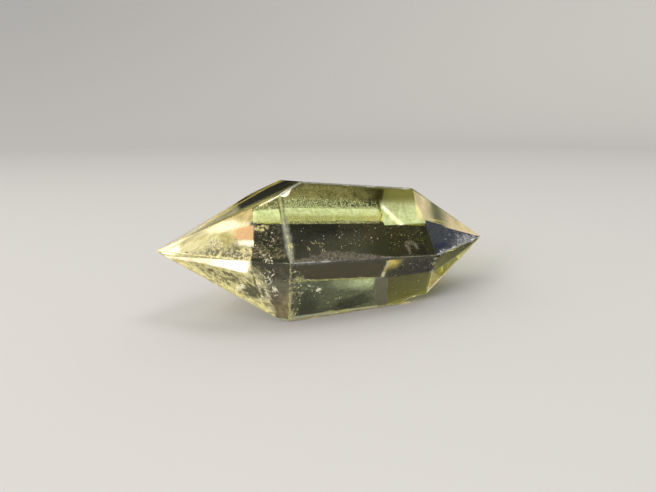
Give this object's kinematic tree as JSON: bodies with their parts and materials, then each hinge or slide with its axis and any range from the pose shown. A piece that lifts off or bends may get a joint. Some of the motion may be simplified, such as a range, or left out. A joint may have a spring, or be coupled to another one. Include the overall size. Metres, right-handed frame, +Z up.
{
  "type": "double terminated quartz point",
  "caption": "Clear pale yellow-green crystal with six long polished sides and a six-sided point at each end, lying on one flat side.",
  "frame": {"origin": "on the flat base side, under the middle of the crystal's box", "axes": "+X along the crystal from the long point to the short point, +Z up from the base side, -Y towards the front sides"},
  "size_m": [0.052, 0.024, 0.019],
  "materials": {
    "citrine": "clear pale yellow-green quartz, polished, with fine veils and specks sealed in it and bruised edges"
  },
  "bodies": {
    "root": {"crystal": "citrine"}
  },
  "joints": []
}
